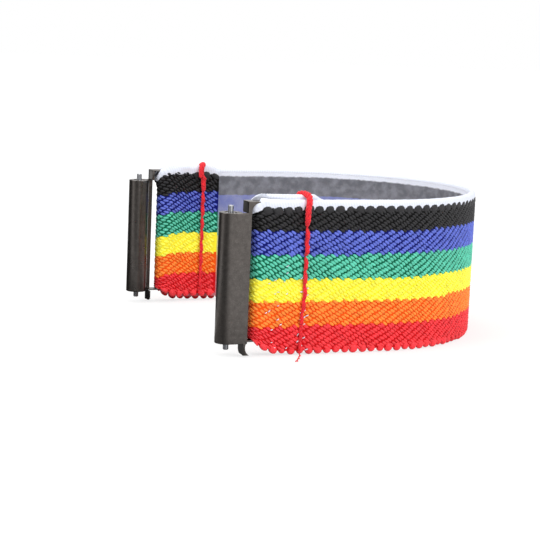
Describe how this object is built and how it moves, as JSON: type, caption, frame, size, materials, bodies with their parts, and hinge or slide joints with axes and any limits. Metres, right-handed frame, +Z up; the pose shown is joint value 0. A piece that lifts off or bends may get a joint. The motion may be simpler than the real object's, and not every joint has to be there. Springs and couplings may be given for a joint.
{
  "type": "stretch watch band",
  "caption": "Elastic woven striped watch band closed into a loop, each end folded round a bent sheet-metal connector that holds a spring bar.",
  "frame": {"origin": "middle of the band's bounding box seen from above, at the level of the webbing's lower edge, on which it stands", "axes": "+X from the two spring bars towards the round end of the loop, +Y from the near spring bar to the far one, +Z up across the webbing's width, along the spring bars"},
  "size_m": [0.0522, 0.052, 0.0242],
  "materials": {
    "webbing": "woven, in lengthwise stripes of white, black, blue, green, yellow, orange and red",
    "rubber": "matte",
    "gunmetal": "dark satin coating",
    "thread": "matte, twisted",
    "steel": "bright turned steel"
  },
  "bodies": {
    "loop": {"webbing_loop": "webbing", "cores_loop": "rubber", "webbing_near_span": "webbing", "cores_near_span": "rubber", "webbing_far_span": "webbing", "cores_far_span": "rubber"},
    "near_hem": {"webbing_near_hem": "webbing", "cores_near_hem": "rubber", "near_hem_thread": "thread"},
    "far_hem": {"webbing_far_hem": "webbing", "cores_far_hem": "rubber", "far_hem_thread": "thread"},
    "near_connector": {"near_connector": "gunmetal"},
    "far_connector": {"far_connector": "gunmetal"},
    "near_bar": {"near_bar_tube": "steel", "near_bar_spring": "steel"},
    "far_bar": {"far_bar_tube": "steel", "far_bar_spring": "steel"},
    "near_upper_pin": {"near_upper_pin": "steel"},
    "near_lower_pin": {"near_lower_pin": "steel"},
    "far_upper_pin": {"far_upper_pin": "steel"},
    "far_lower_pin": {"far_lower_pin": "steel"}
  },
  "joints": [
    {"name": "near_stretch", "type": "slide", "parent": "loop", "child": "near_hem", "axis": [-1, 0, 0], "range_m": [0, 0.01], "stiffness_N_per_m": 500, "deforming": ["webbing_near_span", "cores_near_span"]},
    {"name": "far_stretch", "type": "slide", "parent": "loop", "child": "far_hem", "axis": [-1, 0, 0], "range_m": [0, 0.01], "stiffness_N_per_m": 500, "deforming": ["webbing_far_span", "cores_far_span"]},
    {"name": "near_connector_swing", "type": "hinge", "parent": "near_hem", "child": "near_connector", "pos_m": [-0.01955, -0.0238, 0.0119], "axis": [0, 0, 1], "range_deg": [-60, 55]},
    {"name": "far_connector_swing", "type": "hinge", "parent": "far_hem", "child": "far_connector", "pos_m": [-0.01955, 0.0238, 0.0119], "axis": [0, 0, -1], "range_deg": [-60, 55]},
    {"name": "near_bar_turn", "type": "hinge", "parent": "near_connector", "child": "near_bar", "pos_m": [-0.02435, -0.0238, 0.0119], "axis": [0, 0, 1], "continuous": true},
    {"name": "far_bar_turn", "type": "hinge", "parent": "far_connector", "child": "far_bar", "pos_m": [-0.02435, 0.0238, 0.0119], "axis": [0, 0, -1], "continuous": true},
    {"name": "near_upper_pin_slide", "type": "slide", "parent": "near_bar", "child": "near_upper_pin", "axis": [0, 0, -1], "range_m": [0, 0.0012], "stiffness_N_per_m": 800, "deforming": ["near_bar_spring"]},
    {"name": "near_lower_pin_slide", "type": "slide", "parent": "near_bar", "child": "near_lower_pin", "axis": [0, 0, 1], "range_m": [0, 0.0012], "stiffness_N_per_m": 800, "deforming": ["near_bar_spring"]},
    {"name": "far_upper_pin_slide", "type": "slide", "parent": "far_bar", "child": "far_upper_pin", "axis": [0, 0, -1], "range_m": [0, 0.0012], "stiffness_N_per_m": 800, "deforming": ["far_bar_spring"]},
    {"name": "far_lower_pin_slide", "type": "slide", "parent": "far_bar", "child": "far_lower_pin", "axis": [0, 0, 1], "range_m": [0, 0.0012], "stiffness_N_per_m": 800, "deforming": ["far_bar_spring"]}
  ],
  "couplings": [
    {"joint": "far_stretch", "follows": "near_stretch", "ratio": 1}
  ]
}
